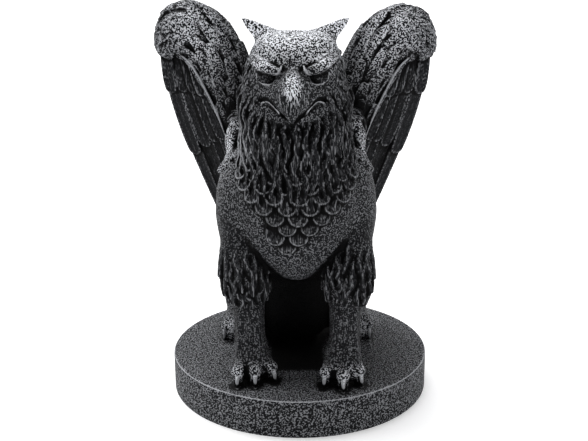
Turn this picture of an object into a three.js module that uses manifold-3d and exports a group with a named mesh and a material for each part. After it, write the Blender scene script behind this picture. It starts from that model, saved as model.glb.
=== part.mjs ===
// A seated griffin with raised wings on a round plinth, cast in resin as one piece.
// Millimetres, +Z up, the griffin faces -Y. The origin is the middle of the plinth's underside.
// The figure's points are drawn for a figure DRAWN_HEIGHT tall, from its own middle plane and from
// the plinth's top face, and follow FIGURE_HEIGHT as one. Its paired forms are drawn on the +X side.
import * as THREE from "three";
import { mergeVertices } from "three/addons/utils/BufferGeometryUtils.js";
import Module from "manifold-3d";

// Driving dimensions
const PLINTH_DIAMETER = 120;
const PLINTH_THICKNESS = 16.6;
const PLINTH_EDGE_RADIUS = 0.9;
const FIGURE_HEIGHT = 160;
const FIGURE_OFFSET_X = -1.3; // the figure's middle plane stands this far beside the plinth's middle
const DRAWN_HEIGHT = 160;

const wasm = await Module();
wasm.setup();

const V = (x, y, z) => new THREE.Vector3(x, y, z);
const ACROSS = V(1, 0, 0);
const BACKWARD = V(0, 1, 0);
const UP = V(0, 0, 1);
const { lerp, degToRad } = THREE.MathUtils;
const spread = (count, make) => Array.from({ length: count }, (_, i) => make(i));

// A closed skin over rings of points, each ring a slice across the form, drawn to a point at both ends.
function skin(first, rings, last) {
  const points = [first, ...rings.flat(), last];
  const count = rings[0].length;
  const at = (ring, i) => 1 + ring * count + (i % count);
  const faces = [];
  for (let i = 0; i < count; i++) {
    faces.push(0, at(0, i + 1), at(0, i));
    faces.push(points.length - 1, at(rings.length - 1, i), at(rings.length - 1, i + 1));
    for (let ring = 0; ring + 1 < rings.length; ring++) {
      faces.push(at(ring, i), at(ring, i + 1), at(ring + 1, i + 1));
      faces.push(at(ring, i), at(ring + 1, i + 1), at(ring + 1, i));
    }
  }
  return new THREE.BufferGeometry().setFromPoints(points).setIndex(faces);
}

// A thin closed piece between two grids of points, grid[i][j], joined all round their edges.
function sheet(front, back) {
  const [rows, columns] = [front.length, front[0].length];
  const at = (face, i, j) => (face * rows + i) * columns + j;
  const faces = [];
  const quad = (a, b, c, d) => faces.push(a, b, c, a, c, d);
  for (let i = 0; i + 1 < rows; i++) {
    for (let j = 0; j + 1 < columns; j++) {
      quad(at(0, i, j), at(0, i, j + 1), at(0, i + 1, j + 1), at(0, i + 1, j));
      quad(at(1, i, j), at(1, i + 1, j), at(1, i + 1, j + 1), at(1, i, j + 1));
    }
    quad(at(0, i, 0), at(0, i + 1, 0), at(1, i + 1, 0), at(1, i, 0));
    quad(at(0, i + 1, columns - 1), at(0, i, columns - 1), at(1, i, columns - 1), at(1, i + 1, columns - 1));
  }
  for (let j = 0; j + 1 < columns; j++) {
    quad(at(0, 0, j + 1), at(0, 0, j), at(1, 0, j), at(1, 0, j + 1));
    quad(at(0, rows - 1, j), at(0, rows - 1, j + 1), at(1, rows - 1, j + 1), at(1, rows - 1, j));
  }
  return new THREE.BufferGeometry().setFromPoints([...front.flat(), ...back.flat()]).setIndex(faces);
}

// A smooth curve through stations [x, y, z, ...sizes]: its point, its direction and its sizes at t.
function route(stations) {
  const line = new THREE.CatmullRomCurve3(stations.map(([x, y, z]) => V(x, y, z)));
  const size = new THREE.CatmullRomCurve3(stations.map(([, , , a = 0, b = a]) => V(a, b, 0)));
  line.curveType = size.curveType = "catmullrom";
  return (t) => ({ point: line.getPoint(t), along: line.getTangent(t), size: size.getPoint(t) });
}

// A limb of round or oval section along stations [x, y, z, half width, half depth].
// Its half width lies along `across`, its half depth square to that and to its line. Both ends reach
// on by `blunt` times their smaller half width, as a dome, or straight to a point if `pointed`.
function limb(stations, { across = ACROSS, sides = 8, rings = 5, blunt = 1, pointed = false } = {}) {
  const path = route(stations);
  const slice = (t, share = 1, beyond = 0) => {
    const { point, along, size } = path(t);
    const side = across.clone().addScaledVector(along, -across.dot(along)).normalize();
    const front = side.clone().cross(along);
    point.addScaledVector(along, beyond * blunt * Math.min(size.x, size.y));
    return spread(sides, (i) => {
      const angle = (2 * Math.PI * i) / sides;
      return point.clone().addScaledVector(side, share * size.x * Math.cos(angle))
        .addScaledVector(front, share * size.y * Math.sin(angle));
    });
  };
  const slices = spread(rings, (i) => slice(i / (rings - 1)));
  const dome = Math.SQRT1_2;
  const rounded = pointed ? slices : [slice(0, dome, -dome), ...slices, slice(1, dome, dome)];
  return skin(slice(0, 0, -1)[0], rounded, slice(1, 0, 1)[0]);
}

// An oval mass.
function mass(x, y, z, halfX, halfY, halfZ, around = 12, down = 8) {
  return new THREE.SphereGeometry(1, around, down).rotateX(Math.PI / 2)
    .scale(halfX, halfY, halfZ).translate(x, y, z);
}

// A carved skin of feathers, scales or locks, in rows that overlap like roof tiles, as one sheet.
// front(u, v, lift) is a point on its face and back(u, v) one on its back: u runs from 0 to 1 across
// the rows, v down them, and a lift of 1 is a tile's full thickness. A profile lists [lift, share of
// the tip cut away] at even steps across one tile. A row's tips are at the v that end(u) gives, and
// are cut back by up to `cut` on both sides. Every second row is shifted by half a tile.
const FEATHER = [[0.2, 1], [1, 0.1], [0.8, 0]];
const SCALE = [[0.1, 1], [0.9, 0.12], [1, 0], [0.9, 0.12]];
const LOCK = [[0, 1], [1, 0]];
const SUNK = -0.6;
const EMERGING = 0.12;
const HALFWAY = 0.7;
const STEP = 0.07; // how much of the way to the next tips the end of a tile takes up
const CLOSING = 0.5; // how far past its last tips a skin runs in under the surface
function carved(count, profile, start, rows, front, back, { halfway = true, closing = 0 } = {}) {
  const across = spread(count * profile.length + 1, (j) => j / (count * profile.length));
  const grid = [across.map((u) => [u, start(u), SUNK])];
  rows.forEach(({ end, cut }, row) => {
    const above = grid.at(-1).map(([, v]) => v);
    const shift = (row % 2) * Math.floor(profile.length / 2);
    const tile = across.map((_, j) => profile[(j + shift) % profile.length]);
    const edge = across.map((u, j) => end(u) - cut * tile[j][1]);
    const line = (share, grown) => across.map((u, j) =>
      [u, lerp(above[j], edge[j], share), grown * tile[j][0]]);
    if (row > 0) grid.push(line(STEP, EMERGING));
    if (halfway) grid.push(line(0.5, HALFWAY));
    grid.push(line(1, 1));
  });
  if (closing) grid.push(grid.at(-1).map(([u, v]) => [u, v + closing, SUNK]));
  const face = (place) => grid.map((line) => line.map(([u, v, lift]) => place(u, v, lift)));
  return sheet(face(front), face(back));
}

// The same form on the figure's other side.
const mirrored = (geometry) => geometry.clone().scale(-1, 1, 1);
const paired = (geometries) => geometries.flatMap((geometry) => [geometry, mirrored(geometry)]);

// A closed geometry as a solid whose faces point out.
function solid(geometry) {
  const bare = geometry.clone();
  bare.deleteAttribute("normal");
  bare.deleteAttribute("uv");
  const merged = mergeVertices(bare, 1e-4);
  const corners = merged.getAttribute("position").array;
  const faces = Uint32Array.from(merged.index.array);
  const corner = (i) => V(...corners.subarray(3 * faces[i], 3 * faces[i] + 3));
  let volume = 0;
  for (let i = 0; i < faces.length; i += 3) volume += corner(i).dot(corner(i + 1).cross(corner(i + 2)));
  if (volume < 0) faces.reverse();
  return new wasm.Manifold(new wasm.Mesh({ numProp: 3, vertProperties: corners, triVerts: faces }));
}

// Solids joined into one, as a geometry, with the small hollows shut in between them cast solid.
function joined(geometries) {
  const shells = wasm.Manifold.union(geometries.map(solid)).decompose();
  const whole = wasm.Manifold.compose(shells.filter((shell) => shell.volume() > 0));
  const { vertProperties, triVerts } = whole.getMesh();
  return new THREE.BufferGeometry()
    .setAttribute("position", new THREE.BufferAttribute(vertProperties, 3))
    .setIndex(new THREE.BufferAttribute(triVerts, 1));
}

// The body: the trunk from the rump up to the crown, the chest, the shoulders and the haunches.
function bodyMasses() {
  const trunk = limb([
    [0, 30, 9, 19, 12], [0, 26, 26, 24, 18], [0, 12, 47, 27, 22], [0, -6, 68, 29, 25],
    [0, -13, 88, 25, 21], [0, -16, 106, 21, 17.5], [0, -18, 121, 18.5, 16.5], [0, -19, 134, 17, 15],
  ], { sides: 12, rings: 8, blunt: 0.75 });
  const breast = limb([
    [0, -15, 94, 22, 20], [0, -17, 84, 28.5, 26], [0, -19, 74, 29.5, 27], [0, -21, 64, 24.5, 24.5],
    [0, -23, 55, 16.5, 19], [0, -24, 51, 11, 14],
  ], { sides: 12, rings: 6, blunt: 0.75 });
  const belly = mass(0, 10, 22, 20, 18, 24, 8, 4);
  const shoulder = mass(24, -14, 72, 11.5, 17, 24, 9, 6);
  const haunch = mass(22.5, 16, 24, 13, 20.5, 24, 9, 6);
  return [trunk, breast, belly, ...paired([shoulder, haunch])];
}

// Points on the body, found from outside at an angle round the neck's line: 0 is the front, 90 the +X
// side. A lift stands off the body, out and a little up.
const NECK_LINE_Y = -14;
const LIFT_RISE = 0.15;
function surfaceOf(geometry) {
  const target = new THREE.Mesh(geometry, new THREE.MeshBasicMaterial({ side: THREE.DoubleSide }));
  const caster = new THREE.Raycaster();
  return (degrees, z, lift) => {
    const angle = degToRad(degrees);
    const out = V(Math.sin(angle), -Math.cos(angle), 0);
    const middle = V(0, NECK_LINE_Y, z);
    caster.set(middle.clone().addScaledVector(out, PLINTH_DIAMETER), out.clone().negate());
    const point = caster.intersectObject(target)[0]?.point ?? middle;
    return point.addScaledVector(out, lift).addScaledVector(UP, lift * LIFT_RISE);
  };
}

// Rows of tiles on the body, centred on an angle. Heights fall from row to row, and a row's sides may
// end higher than its middle. Where within(degrees, z) is false the skin stays under the surface.
function bodyTiles(surface, profile, { count, centre = 0, reach, top, rows, thickness, ...shape }) {
  const degreesAt = (u) => (2 * u - 1) * reach;
  const { floor = 0, within = () => true, halfway } = shape;
  const place = (u, v, lift) => {
    const shown = lift > 0 && within(degreesAt(u), -v);
    return surface(centre + degreesAt(u), -v, thickness * (shown ? lerp(floor, 1, lift) : SUNK));
  };
  const bands = rows.map(({ end, sideEnd = end, cut }) =>
    ({ end: (u) => -lerp(end, sideEnd, (2 * u - 1) ** 2), cut }));
  const back = (u, v) => place(u, v, -1);
  return carved(count, profile, () => -top, bands, place, back, { halfway, closing: CLOSING });
}

// The ruff: layers of long locks from the face down over the throat, longest in the middle.
const RUFF_ROWS = [{ end: 97, sideEnd: 109, cut: 8 }, { end: 73.5, sideEnd: 88, cut: 8 }];
const ruff = (surface) => bodyTiles(surface, LOCK,
  { count: 10, reach: 66, top: 120, rows: RUFF_ROWS, thickness: 4, floor: 0.6 });

// The mane: broad short feathers down the back of the neck.
const MANE_ENDS = [121, 102, 83];
const mane = (surface) => bodyTiles(surface, LOCK, {
  count: 5, centre: 180, reach: 60, top: 139, thickness: 2.6, floor: 0.35, halfway: false,
  rows: MANE_ENDS.map((end) => ({ end, cut: 5 })),
});

// The chest: rows of round scales that narrow to a point over the breastbone.
const SCALE_PITCH_DEG = 18;
const SCALE_ROW_PITCH = 4.5;
const SCALE_ENDS = spread(7, (row) => 86 - row * SCALE_ROW_PITCH);
const SCALE_POINT = 55;
const SCALE_COUNT = 5;
const chestScales = (surface) => bodyTiles(surface, SCALE, {
  count: SCALE_COUNT, reach: (SCALE_COUNT * SCALE_PITCH_DEG) / 2, top: 90, thickness: 1.7, floor: 0.35,
  halfway: false, rows: SCALE_ENDS.map((end) => ({ end, cut: 3.2 })),
  within: (degrees, z) => Math.abs(degrees) <= 1.6 * (z - SCALE_POINT) + 0.2 * SCALE_PITCH_DEG,
});

// The head: a blunt skull with swept ear tufts, scowling brows, half shut eyes and a hooked beak.
const HEAD_TURN_DEG = 3; // towards the griffin's own right
function head() {
  const crown = limb([
    [-8, -19, 132, 17.5, 15.4], [0, -19, 133, 18.5, 15.4], [8, -19, 132, 17.5, 15.4],
  ], { across: BACKWARD, sides: 10, rings: 3, blunt: 0.76 });
  const face = mass(0, -26, 125, 18.5, 12.5, 14, 10, 6);
  const upperBeak = limb([
    [0, -32, 125, 12.4, 6.4], [0, -40, 124.8, 9.4, 6.4], [0, -45.6, 122.8, 6.2, 5],
    [0, -48.8, 118, 3.2, 2.8], [0, -48.6, 114.2, 0.9, 0.9],
  ], { rings: 5, blunt: 0.6 });
  const culmen = limb([
    [0, -36, 134.4, 3.2, 3], [0, -43, 131.6, 3.8, 3.6], [0, -48.4, 125.4, 2.8, 2.4], [0, -49.8, 119, 1, 1],
  ], { sides: 5, rings: 4 });
  const lowerBeak = limb([
    [0, -30, 117, 11.6, 5], [0, -38, 116.2, 8.8, 4.4], [0, -44.4, 114.6, 4, 2.4],
  ], { sides: 6, rings: 3 });
  const jowl = mass(9, -26.5, 116.5, 10.4, 9.4, 9, 8, 5);
  const ear = limb([
    [8, -15, 138.6, 8.6, 5.4], [13.6, -14.6, 145.4, 4.8, 3.2], [18.6, -14.2, 150.2, 2.4, 1.8],
    [22.4, -13.8, 154, 0.4, 0.4],
  ], { across: V(0.7, 0, -0.7), sides: 6, rings: 4, pointed: true });
  const brow = limb([
    [2.6, -39.2, 135.4, 1.3, 1.1], [5, -38.6, 132.6, 2.2, 2.2], [9.5, -36, 134, 3, 2.8],
    [15.4, -30, 138.6, 1.6, 1.5],
  ], { across: UP, sides: 5, rings: 5, pointed: true });
  const eye = mass(10, -33.2, 130.4, 4.4, 3.6, 3.4, 6, 4);
  const turn = new THREE.Matrix4().makeTranslation(0, -18, 0)
    .multiply(new THREE.Matrix4().makeRotationZ(-degToRad(HEAD_TURN_DEG)))
    .multiply(new THREE.Matrix4().makeTranslation(0, 18, 0));
  return [crown, face, upperBeak, culmen, lowerBeak, ...paired([jowl, ear, brow, eye])]
    .map((geometry) => geometry.applyMatrix4(turn));
}

// One toe with its hooked claw, reaching over a knuckle from a foot to (x, y).
function toe(fromX, fromY, x, y, knuckle, size) {
  const place = (share, z, radius) => [lerp(fromX, x, share), lerp(fromY, y, share), z, radius];
  const reach = V(x - fromX, y - fromY, 0).normalize();
  const beyond = (forward, z, radius) => [x + reach.x * forward, y + reach.y * forward, z, radius];
  const finger = limb([
    place(0, 0.8 * knuckle, 0.8 * size), place(0.6, knuckle, size), place(1, 0.62 * knuckle, 0.85 * size),
  ], { sides: 5, rings: 4, blunt: 0.5, pointed: true });
  const claw = limb([
    beyond(0.2 * size, 0.7 * knuckle, 0.36 * size), beyond(0.85 * size, 0.5 * knuckle, 0.32 * size),
    beyond(0.95 * size, 0, 0.1 * size),
  ], { sides: 4, rings: 3, pointed: true });
  return [finger, claw];
}

// A foreleg: the upper arm, a cuff of hanging feathers, a straight shank and three clawed toes.
const CUFF_TOP = 57;
const CUFF_ROWS = [{ end: () => -41, cut: 6 }, { end: () => -32, cut: 5.5 }];
const CUFF_THICKNESS = 2.6;
const CUFF_COUNT = 6;
const CUFF_REACH_DEG = 160;
const TOE_PITCH = 6.9;
const LEFT_TOES = [9, 12.6, 7.8];
const RIGHT_TOES = [7.6, 11.8, 12.2];
function foreleg(stepBack, toeReach) {
  const stations = [
    [24, -17, 70, 10, 14], [23, -25, 54, 9.4, 11.5], [21.6, -31 + stepBack * 0.5, 42, 8.2, 9],
    [21, -33.5 + stepBack, 31, 6.9, 7.2], [20.8, -34 + stepBack, 17, 6.7, 6.8],
    [20.2, -35 + stepBack, 6, 8, 7.6],
  ];
  const footY = -37 + stepBack;
  const leg = limb(stations, { rings: 6, blunt: 0.6 });
  const middle = 19.4 - stepBack / 4;
  const toes = toeReach.flatMap((forward, i) =>
    toe(middle + (i - 1) * 4, footY, middle + (i - 1) * TOE_PITCH, footY - forward, 8, 3.3));
  const path = route(stations);
  const [highest, lowest] = [stations[0][2], stations.at(-1)[2]];
  const around = (degrees, z, lift) => {
    const { point, size } = path((highest - z) / (highest - lowest));
    const angle = degToRad(degrees);
    return V(point.x + (size.x + lift) * Math.sin(angle), point.y - (size.y + lift) * Math.cos(angle), z);
  };
  const place = (u, v, lift) => around((2 * u - 1) * CUFF_REACH_DEG, -v, CUFF_THICKNESS * lift);
  const cuffs = carved(CUFF_COUNT, LOCK, () => -CUFF_TOP, CUFF_ROWS, (u, v, lift) => place(u, v, lift + 0.3),
    (u, v) => place(u, v, -0.5), { halfway: false, closing: CLOSING });
  return [leg, ...toes, cuffs];
}

// A hind paw that reaches forward from under the haunch.
function hindPaw() {
  const foot = limb([[25, 30, 6, 7, 6], [28.5, 18, 7, 7, 7], [30.6, 9, 7, 5.4, 6.2]], { sides: 6, rings: 3 });
  const toes = [-1, 0, 1].flatMap((i) =>
    toe(30.6 + i * 2.6, 11, 31 + i * 3.6, 4 + Math.abs(i) * 1.5, 9, 2));
  return [foot, ...toes];
}

// The tail lies on the plinth behind the haunches and curls up to a tuft.
function tail() {
  return [
    limb([
      [0, 36, 14, 5.5], [-8, 46, 7, 4.4], [-20, 48.5, 4.4, 3.8], [-29, 43, 5, 3.4], [-28, 38, 14, 3],
    ], { sides: 5, rings: 6 }),
    limb([[-28, 38, 13, 3], [-25, 36.5, 21, 5], [-20, 35, 28.5, 1]], { sides: 6, rings: 4, pointed: true }),
  ];
}

// The wing: an arm that climbs from the shoulder to the wrist, and a vane of feathers that hangs from
// it and sweeps back to a tip. The vane is ruled between its inner edge, on the flank, and its outer edge.
// The arm's stations give its half depth, front to back, and then its half breadth.
const WING_SHOULDER = V(19, 3, 84);
// The griffin's left wing, on +X, is a little the lower and is held a little further out.
const LEFT_WING_SHARE = 0.97;
const LEFT_WING_SPREAD = 1.02;
const WING_ARM = [
  [19, 3, 84, 6.5, 8], [21.7, 4, 99, 6.5, 9], [24.7, 5.5, 111.6, 6.5, 10.2], [30.3, 7, 126, 6.8, 11.5],
  [39.5, 8, 142, 7.2, 12], [49.2, 8.5, 148, 7.6, 11.2], [55.4, 9, 144.2, 6.4, 7.6], [57.4, 11, 132, 4.6, 4.2],
];
const OUTER_EDGE = route([
  [60.5, 10, 148], [59.8, 14, 131], [57, 23, 112], [51.2, 34, 89], [43, 43, 64], [35, 49, 42], [29, 52, 24],
]);
const INNER_EDGE = route([
  [46, 7, 138], [39.5, 8, 122], [33, 10, 106], [27, 15, 88], [24, 25, 66], [23.5, 37, 44], [26, 48, 26],
]);
const VANE_CAMBER = 3;

// A point on the vane, s from its inner to its outer edge, t down its length, lifted towards its back.
function vanePoint(s, t, lift) {
  const [inner, outer] = [INNER_EDGE(t).point, OUTER_EDGE(t)];
  const back = outer.point.clone().sub(inner).cross(outer.along).normalize();
  return inner.lerp(outer.point, s).addScaledVector(back, VANE_CAMBER * Math.sin(Math.PI * s) + lift);
}

// Rows of feathers on both faces of the vane: where their inner and outer tips are, down the vane.
const VANE_COUNT = 4;
const VANE_CORE = 1;
const VANE_FEATHER = 2;
const VANE_ROWS = [
  { innerEnd: 0.2, outerEnd: 0.27, cut: 0.035 },
  { innerEnd: 0.4, outerEnd: 0.53, cut: 0.04 },
  { innerEnd: 0.88, outerEnd: 1, cut: 0.05 },
];
function vane() {
  const rows = VANE_ROWS.map(({ innerEnd, outerEnd, cut }) =>
    ({ end: (u) => lerp(innerEnd, outerEnd, u), cut }));
  const face = (side) => (u, v, lift) => {
    const thinning = lerp(1.2, 0.7, v);
    return vanePoint(u, v, side * (VANE_CORE + VANE_FEATHER * Math.max(0, lift) * thinning));
  };
  return carved(VANE_COUNT, FEATHER, () => 0, rows, face(-1), face(1), { halfway: false });
}

// Small round coverts that cap the wrist and scallop its outline, in rows that run back from the arm's
// end, each from the arm's front round its outer edge.
const COVERT_ROWS = [0.68, 0.78, 0.88];
const COVERT_ANGLES_DEG = [-60, 5];
const COVERT_SEAT = 0.72;
function coverts() {
  const path = route(WING_ARM);
  return COVERT_ROWS.flatMap((t, row) => COVERT_ANGLES_DEG.map((degrees) => {
    const { point, along, size } = path(t);
    const out = along.clone().cross(BACKWARD).normalize();
    const angle = degToRad(degrees + (row % 2) * 30);
    point.addScaledVector(out, COVERT_SEAT * size.y * Math.cos(angle))
      .addScaledVector(BACKWARD, COVERT_SEAT * size.x * Math.sin(angle));
    return mass(point.x, point.y, point.z, 3.8, 3, 4.4, 5, 3);
  }));
}

function wing() {
  const arm = limb(WING_ARM, { across: BACKWARD, rings: 9 });
  const ridge = limb([
    [29.6, 2.4, 95, 1.2], [34, 3.4, 107.6, 1.3], [40.2, 4.4, 121.2, 1.4], [46.8, 5, 134, 1.4],
    [53, 5.4, 137.4, 1.2],
  ], { across: BACKWARD, sides: 4, rings: 5, pointed: true });
  return [arm, ridge, vane(), ...coverts()];
}

function plinth() {
  const [radius, top, edge] = [PLINTH_DIAMETER / 2, PLINTH_THICKNESS, PLINTH_EDGE_RADIUS];
  const profile = new THREE.Path().moveTo(0, 0).lineTo(radius, 0).lineTo(radius, top - edge)
    .absarc(radius - edge, top - edge, edge, 0, Math.PI / 2).lineTo(0, top);
  return new THREE.LatheGeometry(profile.getPoints(1), 54).rotateX(Math.PI / 2);
}

// The whole work. The griffin's left forefoot, on +X, stands a little ahead of its right one.
const RIGHT_STEP_BACK = 4;
const body = joined(bodyMasses());
const surface = surfaceOf(body);
const leftWingSize = new THREE.Matrix4().makeTranslation(WING_SHOULDER)
  .multiply(new THREE.Matrix4().makeScale(LEFT_WING_SPREAD, LEFT_WING_SHARE, LEFT_WING_SHARE))
  .multiply(new THREE.Matrix4().makeTranslation(WING_SHOULDER.clone().negate()));
const figure = [
  body, chestScales(surface), ruff(surface), mane(surface), ...head(),
  ...foreleg(0, LEFT_TOES), ...foreleg(RIGHT_STEP_BACK, RIGHT_TOES).map(mirrored),
  ...paired(hindPaw()), ...tail(),
  ...wing().map(mirrored), ...wing().map((geometry) => geometry.applyMatrix4(leftWingSize)),
];
const onPlinth = new THREE.Matrix4().makeTranslation(FIGURE_OFFSET_X, 0, PLINTH_THICKNESS)
  .scale(V(1, 1, 1).multiplyScalar(FIGURE_HEIGHT / DRAWN_HEIGHT));

const statue = new THREE.Mesh(
  joined([plinth(), ...figure.map((geometry) => geometry.applyMatrix4(onPlinth))]),
  new THREE.MeshStandardMaterial({ color: 0x34363a, roughness: 0.72, metalness: 0 }),
);
statue.name = "griffin_statue";

const group = new THREE.Group();
group.add(statue);
export default group;
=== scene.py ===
# A seated griffin with raised wings on a round plinth, cast in charcoal resin as one piece: its carved
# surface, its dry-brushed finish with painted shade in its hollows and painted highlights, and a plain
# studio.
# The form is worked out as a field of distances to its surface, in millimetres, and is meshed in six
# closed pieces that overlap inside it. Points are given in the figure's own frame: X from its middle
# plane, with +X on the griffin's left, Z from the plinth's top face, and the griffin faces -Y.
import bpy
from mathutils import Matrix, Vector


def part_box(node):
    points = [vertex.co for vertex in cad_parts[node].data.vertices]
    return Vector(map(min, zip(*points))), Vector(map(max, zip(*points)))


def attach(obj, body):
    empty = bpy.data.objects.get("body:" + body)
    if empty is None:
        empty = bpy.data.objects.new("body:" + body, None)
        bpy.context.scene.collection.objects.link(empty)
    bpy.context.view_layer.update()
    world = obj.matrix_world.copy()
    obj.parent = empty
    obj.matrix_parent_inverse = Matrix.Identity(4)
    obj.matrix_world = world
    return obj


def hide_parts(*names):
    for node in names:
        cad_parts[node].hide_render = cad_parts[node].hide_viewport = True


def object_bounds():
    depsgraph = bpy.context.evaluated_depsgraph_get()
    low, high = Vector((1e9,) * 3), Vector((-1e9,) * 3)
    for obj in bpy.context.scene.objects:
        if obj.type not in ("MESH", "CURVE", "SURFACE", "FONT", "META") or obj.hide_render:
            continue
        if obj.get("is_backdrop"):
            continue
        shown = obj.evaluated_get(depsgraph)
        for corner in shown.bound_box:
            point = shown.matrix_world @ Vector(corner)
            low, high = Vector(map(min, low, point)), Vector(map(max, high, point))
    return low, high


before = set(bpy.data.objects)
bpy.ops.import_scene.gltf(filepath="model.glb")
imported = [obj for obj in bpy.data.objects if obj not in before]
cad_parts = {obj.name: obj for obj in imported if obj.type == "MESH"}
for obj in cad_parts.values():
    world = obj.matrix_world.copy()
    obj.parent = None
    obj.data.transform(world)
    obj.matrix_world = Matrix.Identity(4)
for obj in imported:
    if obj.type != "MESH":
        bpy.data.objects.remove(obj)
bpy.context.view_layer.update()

import copy
import math

import bpy
import numpy as np
import openvdb
from mathutils import Matrix, Vector

# Sizes, in millimetres
METRE = 1000.0
node_low, node_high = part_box("griffin_statue")
PLINTH_RADIUS = METRE * (node_high[1] - node_low[1]) / 2
PLINTH_THICKNESS = 16.6
PLINTH_EDGE_RADIUS = 0.9
FIGURE_OFFSET_X = -1.3
HEAD_TURN_DEG = 3
RIGHT_STEP_BACK = 4
LEFT_WING_SHARE = 0.97
LEFT_WING_SPREAD = 1.01

# The smooth body's block, its cell, and the distance that stands for empty space
REACH_LOW = (-68.0, -63.0, -19.0)
REACH_HIGH = (67.0, 63.0, 164.0)
COARSE_CELL = 0.7
FAR = 8.0
UNTOUCHED = FAR - 0.1
TINY = 1e-6

ACROSS = np.array([1.0, 0, 0])
BACKWARD = np.array([0, 1.0, 0])
UP = np.array([0, 0, 1.0])


def unit(vectors):
    """One vector, or rows of them, at a length of 1."""
    return vectors / np.linalg.norm(vectors, axis=-1, keepdims=True)


def lerp(a, b, share):
    return a + (b - a) * share


def fade(value, low, high):
    """0 up to low and 1 beyond high, with a soft step between, or the other way round."""
    share = np.clip((value - low) / (high - low), 0, 1)
    return share * share * (3 - 2 * share)


def curve(stations, count):
    """Points of a smooth curve through stations of any number of columns."""
    points = np.array(stations, float)
    padded = np.vstack([2 * points[0] - points[1], points, 2 * points[-1] - points[-2]])
    run = np.linspace(0, len(points) - 1, count)
    i = np.minimum(run.astype(int), len(points) - 2)
    f = (run - i)[:, None]
    a, b, c, d = padded[i], padded[i + 1], padded[i + 2], padded[i + 3]
    square = (2 * a - 5 * b + 4 * c - d) * f ** 2
    cube = (3 * b - 3 * c + d - a) * f ** 3
    return 0.5 * (2 * b + (c - a) * f + square + cube)


def oval(parts, radii):
    """The distance to an oval's surface at points given as shares of its radii."""
    k = np.sqrt(sum(p * p for p in parts)) + TINY
    return k * (k - 1) / (np.sqrt(sum((p / r) ** 2 for p, r in zip(parts, radii))) + TINY)


def fillet(gap, blend):
    """What a fillet of width `blend` adds where two surfaces are a gap apart."""
    overlap = np.maximum(blend - np.abs(gap), 0)
    return overlap * overlap * (0.25 / blend)


class Place:
    """Where a form drawn on the +X side goes: a size, a spread along X, a mirror and a turn about Z."""

    def __init__(self, mirror=False, share=1.0, spread=1.0, about=(0, 0, 0), turn_deg=0.0):
        angle = math.radians(turn_deg)
        cos, sin = math.cos(angle), math.sin(angle)
        turn = np.array([[cos, sin, 0], [-sin, cos, 0], [0, 0, 1]])
        self.share = share
        side = -1 if mirror else 1
        self.matrix = turn @ np.diag([side * spread, 1, 1])
        self.about = np.array(about, float)
        self.anchor = self.about * np.array([side, 1, 1])

    def points(self, points):
        return (np.asarray(points, float) - self.about) @ self.matrix.T * self.share + self.anchor

    def vectors(self, vectors):
        return np.asarray(vectors, float) @ self.matrix.T


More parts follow.
